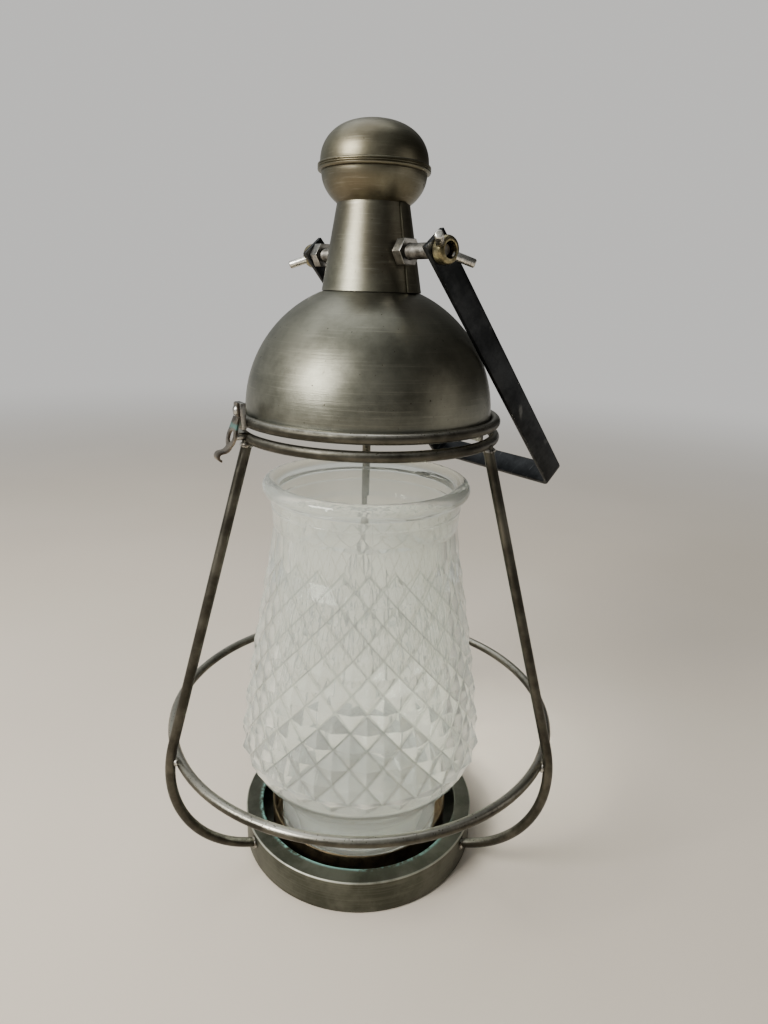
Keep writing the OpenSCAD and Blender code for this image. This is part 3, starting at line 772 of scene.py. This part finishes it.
cap_low, cap_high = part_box("finial_cap")
CAP_R = cap_high.x
CAP_SIDE_POWER = 2.2
CAP_TOP_POWER = 2.4
CAP_STEPS = 26
cap_h = cap_high.z - cap_low.z
cap_outline = []
for n in range(CAP_STEPS):
    share = sin(pi / 2 * n / CAP_STEPS)
    cap_r = CAP_R * (1 - share ** CAP_SIDE_POWER) ** (1 / CAP_TOP_POWER)
    cap_outline.append((cap_r, cap_low.z + share * cap_h))
inner = 1 - LID_SHEET / CAP_R
cap_inside = [(r * inner, cap_low.z + (z - cap_low.z) * inner) for r, z in reversed(cap_outline)]
cap_outline += [(POLE, cap_high.z), (POLE, cap_high.z - LID_SHEET)] + cap_inside
cap = turned("finial_cap_spinning", cap_outline)
place_piece(cap, finial_brass, "lid", "old_brass", "finial_cap")


# ---- hinge ----
# Two zinc-plated leaves with rolled knuckles and a pin, on the rings at +X. The edges are
# rounded as stamped sheet is.

MERGE = 0.00001
LEAF_EDGE = 0.0003


def softened(name, node, edge, crease=32):
    """A stamped part with its sharp edges rounded by edge metres."""
    clear_selection()
    piece = frame["nodes"][node].copy()
    piece.data = piece.data.copy()
    for tag in list(piece.keys()):
        del piece[tag]
    bpy.context.scene.collection.objects.link(piece)
    piece.name = name
    piece.parent = None
    piece.hide_render = False
    piece.select_set(True)
    bpy.context.view_layer.objects.active = piece
    bpy.ops.object.mode_set(mode="EDIT")
    bpy.ops.mesh.select_all(action="SELECT")
    bpy.ops.mesh.remove_doubles(threshold=MERGE)
    bpy.ops.mesh.dissolve_limited(angle_limit=radians(1.0))
    bpy.ops.object.mode_set(mode="OBJECT")
    rounding = piece.modifiers.new("rounding", "BEVEL")
    rounding.width = edge
    rounding.segments = 2
    rounding.limit_method = "ANGLE"
    rounding.angle_limit = radians(crease)
    rounding.use_clamp_overlap = True
    bpy.ops.object.modifier_apply(modifier=rounding.name)
    smooth(piece, crease)
    return piece


def plated(name, dark, light, scale, roughness, stain_z=None):
    """Plated or plain small metal: a clouded tone and fine pits, with verdigris at a height."""
    material, shader, wire = new_finish(name, Metallic=1.0)
    place = wire.node("TexCoord", output=3)
    cloud = wire.node("TexNoise", inputs={"Vector": place, "Scale": scale, "Detail": 7.0, "Roughness": 0.7})
    grain = wire.node("TexNoise", inputs={"Vector": place, "Scale": scale * 9, "Detail": 3.0})
    tone = cloud.rise(0.36, 0.64).blend(dark, light)
    if stain_z is not None:
        height = wire.node("SeparateXYZ", output=2, inputs={"Vector": place})
        off = wire.maths("ABSOLUTE", height - stain_z) + cloud * 0.002
        tone = (off.rise(0.0030, 0.0015) * 0.8).blend(tone, VERDIGRIS)
    wire.feed(shader.inputs["Base Color"], tone)
    wire.feed(shader.inputs["Roughness"], roughness + cloud * 0.15)
    wire.feed(shader.inputs["Normal"], wire.node("Bump", inputs={
        "Strength": 0.25, "Distance": 0.0002, "Height": cloud + grain * 0.5}))
    return material


zinc = plated("zinc", (0.11, 0.105, 0.095, 1), (0.46, 0.45, 0.42, 1), 90.0, 0.24)
lower_leaf = softened("lower_leaf", "hinge_lower_leaf", LEAF_EDGE)
place_piece(lower_leaf, zinc, "stand", "zinc", "hinge_lower_leaf")
upper_leaf = softened("upper_leaf", "hinge_upper_leaf", LEAF_EDGE)
place_piece(upper_leaf, zinc, "lid", "zinc", "hinge_upper_leaf")
pin = softened("pin", "hinge_pin", LEAF_EDGE)
place_piece(pin, zinc, "stand", "zinc", "hinge_pin")


# ---- latch ----
# A brown spring-steel strip riveted to a lug on the upper ring: it bends below the rivet, its
# eye clips over a stud on the lower ring, and its end is curled for the thumb.

stud_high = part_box("latch_stud")[1]
spring_steel = plated("spring_steel", (0.085, 0.068, 0.052, 1), (0.30, 0.26, 0.21, 1), 120.0, 0.28,
                      stain_z=stud_high.z + 0.004)
lug = softened("lug", "latch_lug", 0.0003)
place_piece(lug, zinc, "lid", "dull_steel", "latch_lug")
root = softened("strip_root", "latch_root", 0.0002)
place_piece(root, spring_steel, "lid", "spring_strip", "latch_root")
strip = softened("strip", "latch_strip", 0.0002)
place_piece(strip, spring_steel, "latch", "spring_strip", "latch_strip")
rivet = softened("rivet", "latch_rivet", 0.0004)
place_piece(rivet, zinc, "lid", "zinc", "latch_rivet")
stud = softened("stud", "latch_stud", 0.0005)
place_piece(stud, zinc, "stand", "zinc", "latch_stud")


# ---- pivot rod and nuts ----
# M8 threaded rod through the chimney, held by a nut on each side of it, with another nut inside
# the bail's rear arm.

pivot_joint = next(j for j in frame["joints"] if j["name"] == "bail_swing")
PIVOT_Z = pivot_joint["pos_m"][2]
PIVOT_TURN = radians(7)
PIVOT_R = 0.004
PIVOT_LENGTH = 0.118
THREAD_PITCH = 0.00125
THREAD_DEPTH = 0.00065


def on_pivot(piece, flip=False):
    """Stands a piece drawn along Z on the pivot rod, its top towards the front end, or the rear."""
    piece.matrix_world = (
        Matrix.Translation((0, 0, PIVOT_Z)) @ Matrix.Rotation(PIVOT_TURN, 4, "Z")
        @ Matrix.Rotation(-pi / 2 if flip else pi / 2, 4, "X"))
    apply_place(piece)
    return piece


half = PIVOT_LENGTH / 2
core_r = PIVOT_R - THREAD_DEPTH
core = turned("pivot_core", [(POLE, -half), (core_r - 0.0006, -half), (core_r, -half + 0.0008),
                             (core_r, half - 0.0008), (core_r - 0.0006, half), (POLE, half)],
              sides=32, closed=False)
clear_selection()
bpy.ops.mesh.primitive_circle_add(vertices=3, radius=THREAD_PITCH * 0.55, fill_type="NOTHING",
                                  rotation=(pi / 2, 0, 0),
                                  location=(core_r + 0.0001, 0, -half + 0.0012))
thread = bpy.context.object
apply_place(thread)
winding = thread.modifiers.new("winding", "SCREW")
winding.axis = "Z"
winding.screw_offset = THREAD_PITCH
winding.iterations = int((PIVOT_LENGTH - 0.003) / THREAD_PITCH)
winding.steps = winding.render_steps = 28
winding.use_merge_vertices = False
bpy.ops.object.modifier_apply(modifier=winding.name)
bpy.ops.object.mode_set(mode="EDIT")
bpy.ops.mesh.select_all(action="SELECT")
bpy.ops.mesh.fill_holes(sides=3)
bpy.ops.mesh.select_all(action="SELECT")
bpy.ops.mesh.normals_make_consistent(inside=False)
pivot = on_pivot(joined([core, thread], "threaded_rod"))
smooth(pivot, 30)
rod_zinc = plated("rod_zinc", (0.065, 0.060, 0.052, 1), (0.20, 0.19, 0.17, 1), 160.0, 0.42)
place_piece(pivot, rod_zinc, "lid", "zinc", "pivot_rod")

chimney_nuts = softened("chimney_hexagons", "chimney_nuts", 0.0005, 20)
place_piece(chimney_nuts, zinc, "lid", "zinc", "chimney_nuts")
bail_nut = softened("bail_hexagon", "bail_nut", 0.0005, 20)
place_piece(bail_nut, zinc, "lid", "zinc", "bail_nut")


# ---- bail ----
# A near-black flat steel strip, bent to a square U with tight corners and square-cut ends. It
# swings on the pivot rod through a hole in each arm and lies just clear of the dome.

BAIL_STRIP_W = 0.015
BAIL_STRIP_T = 0.003
BAIL_IN = 0.0529
BAIL_ARM = 0.173
BAIL_REST = radians(40.7)
BAIL_CORNER = 0.0035
BAIL_EDGE = 0.0004
BAIL_HOLE_R = 0.0042
black_steel, bail_shader, wire = new_finish("black_steel", Metallic=0.9)
place = wire.node("TexCoord", output=3)
cloud = wire.node("TexNoise", inputs={"Vector": place, "Scale": 50.0, "Detail": 7.0, "Roughness": 0.7})
grain = wire.node("TexNoise", inputs={"Vector": place, "Scale": 600.0, "Detail": 4.0})
scrape = wire.node("TexNoise", inputs={
    "Vector": wire.node("Mapping", inputs={"Vector": place, "Scale": (60, 500, 60)}), "Scale": 1.0,
    "Detail": 3.0})
black = cloud.rise(0.35, 0.7).blend((0.010, 0.011, 0.012, 1), (0.040, 0.042, 0.044, 1))
wire.feed(bail_shader.inputs["Base Color"],
          (scrape.rise(0.62, 0.74) * 0.6).blend(black, (0.16, 0.16, 0.155, 1)))
wire.feed(bail_shader.inputs["Roughness"], 0.34 + cloud * 0.18)
wire.feed(bail_shader.inputs["Normal"], wire.node("Bump", inputs={
    "Strength": 0.3, "Distance": 0.0003, "Height": grain * 0.6 + cloud}))

mid = BAIL_IN + BAIL_STRIP_T / 2
clear_selection()
bpy.ops.mesh.primitive_plane_add(size=1, location=(0, -mid, BAIL_STRIP_W / 2))
bail = bpy.context.object
bail.name = "bail_strip"
bail.scale = (BAIL_STRIP_W, BAIL_STRIP_T, 1)
apply_place(bail)
bpy.ops.object.mode_set(mode="EDIT")
bpy.ops.mesh.select_all(action="SELECT")
bend_level = -BAIL_ARM + BAIL_CORNER
corner_y = mid - BAIL_CORNER
bpy.ops.mesh.extrude_region_move(TRANSFORM_OT_translate={"value": (0, 0, bend_level - BAIL_STRIP_W / 2)})
bpy.ops.mesh.spin(steps=8, angle=-pi / 2, center=(0, -corner_y, bend_level), axis=(1, 0, 0))
bpy.ops.mesh.extrude_region_move(TRANSFORM_OT_translate={"value": (0, 2 * corner_y, 0)})
bpy.ops.mesh.spin(steps=8, angle=-pi / 2, center=(0, corner_y, bend_level), axis=(1, 0, 0))
bpy.ops.mesh.extrude_region_move(TRANSFORM_OT_translate={"value": (0, 0, BAIL_STRIP_W / 2 - bend_level)})
bpy.ops.mesh.select_all(action="SELECT")
bpy.ops.mesh.remove_doubles(threshold=MERGE)
bpy.ops.mesh.normals_make_consistent(inside=False)
bpy.ops.object.mode_set(mode="OBJECT")
rounding = bail.modifiers.new("rounding", "BEVEL")
rounding.width = BAIL_EDGE
rounding.segments = 2
rounding.limit_method = "ANGLE"
rounding.angle_limit = radians(40)
bpy.ops.object.modifier_apply(modifier=rounding.name)
clear_selection()
bpy.ops.mesh.primitive_cylinder_add(vertices=48, radius=BAIL_HOLE_R, depth=4 * mid, rotation=(pi / 2, 0, 0))
drill = bpy.context.object
drilling = bail.modifiers.new("drilling", "BOOLEAN")
drilling.operation = "DIFFERENCE"
drilling.object = drill
clear_selection()
bail.select_set(True)
bpy.context.view_layer.objects.active = bail
bpy.ops.object.modifier_apply(modifier=drilling.name)
bpy.data.objects.remove(drill)
bail.rotation_euler = (0, -BAIL_REST, PIVOT_TURN)
bail.location = (0, 0, PIVOT_Z)
apply_place(bail)
smooth(bail, 25)
place_piece(bail, black_steel, "bail", "black_strip", "bail")


# ---- wing nuts ----
# Cast brass hubs, rounded and tapped right through so that the rod's end shows deep inside, each
# with two round steel wings that slant outwards.

WING_NUT_AT = 0.0562
HUB_R = 0.007
HUB_H = 0.0065
HUB_EDGE = 0.0026
HUB_FOOT_EDGE = 0.0008
HUB_BORE = PIVOT_R + 0.0001
HUB_BORE_EDGE = 0.0002
WING_TIP_EDGE = 0.0009
WING_ROOT = 0.0022
WING_R = 0.00225
WING_LENGTH = 0.011 + WING_ROOT - 0.001
WING_LIFT = radians(40)
WING_TURN = radians(-25)
hub_brass = plated("hub_brass", (0.10, 0.085, 0.045, 1), (0.42, 0.37, 0.22, 1), 150.0, 0.24)
wing_steel = plated("wing_steel", (0.26, 0.25, 0.225, 1), (0.74, 0.72, 0.66, 1), 110.0, 0.20)
for node, flip, body in (("wing_nut_front", False, "wing_nut_a"), ("wing_nut_rear", True, "wing_nut_b")):
    hub_outline = [(HUB_BORE, WING_NUT_AT), (HUB_R - HUB_FOOT_EDGE, WING_NUT_AT)]
    hub_outline += arc(HUB_R - HUB_FOOT_EDGE, WING_NUT_AT + HUB_FOOT_EDGE, HUB_FOOT_EDGE, -90, 0, 4)
    hub_outline += arc(HUB_R - HUB_EDGE, WING_NUT_AT + HUB_H - HUB_EDGE, HUB_EDGE, 0, 90, 8)
    hub_outline += [(HUB_BORE + HUB_BORE_EDGE, WING_NUT_AT + HUB_H),
                    (HUB_BORE, WING_NUT_AT + HUB_H - HUB_BORE_EDGE)]
    hub = on_pivot(turned(node + "_hub", hub_outline, sides=48), flip)
    place_piece(hub, hub_brass, body, "yellow_brass", node)
    wings = []
    for side in (0, pi):
        clear_selection()
        bpy.ops.mesh.primitive_cylinder_add(vertices=28, radius=WING_R, depth=WING_LENGTH)
        wing = bpy.context.object
        bpy.ops.object.mode_set(mode="EDIT")
        bpy.ops.mesh.select_all(action="DESELECT")
        pick(wing, lambda place: place.z > 0)
        bpy.ops.mesh.bevel(offset=WING_TIP_EDGE, segments=4)
        bpy.ops.object.mode_set(mode="OBJECT")
        reach_out = Matrix.Rotation(side + WING_TURN, 4, "Z") @ Matrix.Translation(
            (HUB_R - WING_ROOT, 0, WING_NUT_AT + HUB_H / 2))
        slant = Matrix.Rotation(pi / 2 - WING_LIFT, 4, "Y") @ Matrix.Translation(
            (0, 0, WING_LENGTH / 2))
        wing.matrix_world = reach_out @ slant
        apply_place(wing)
        wings.append(wing)
    wing_pair = on_pivot(joined(wings, node + "_wings"), flip)
    smooth(wing_pair, 35)
    wing_pair.data.materials.clear()
    wing_pair.data.materials.append(wing_steel)
    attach(wing_pair, body)
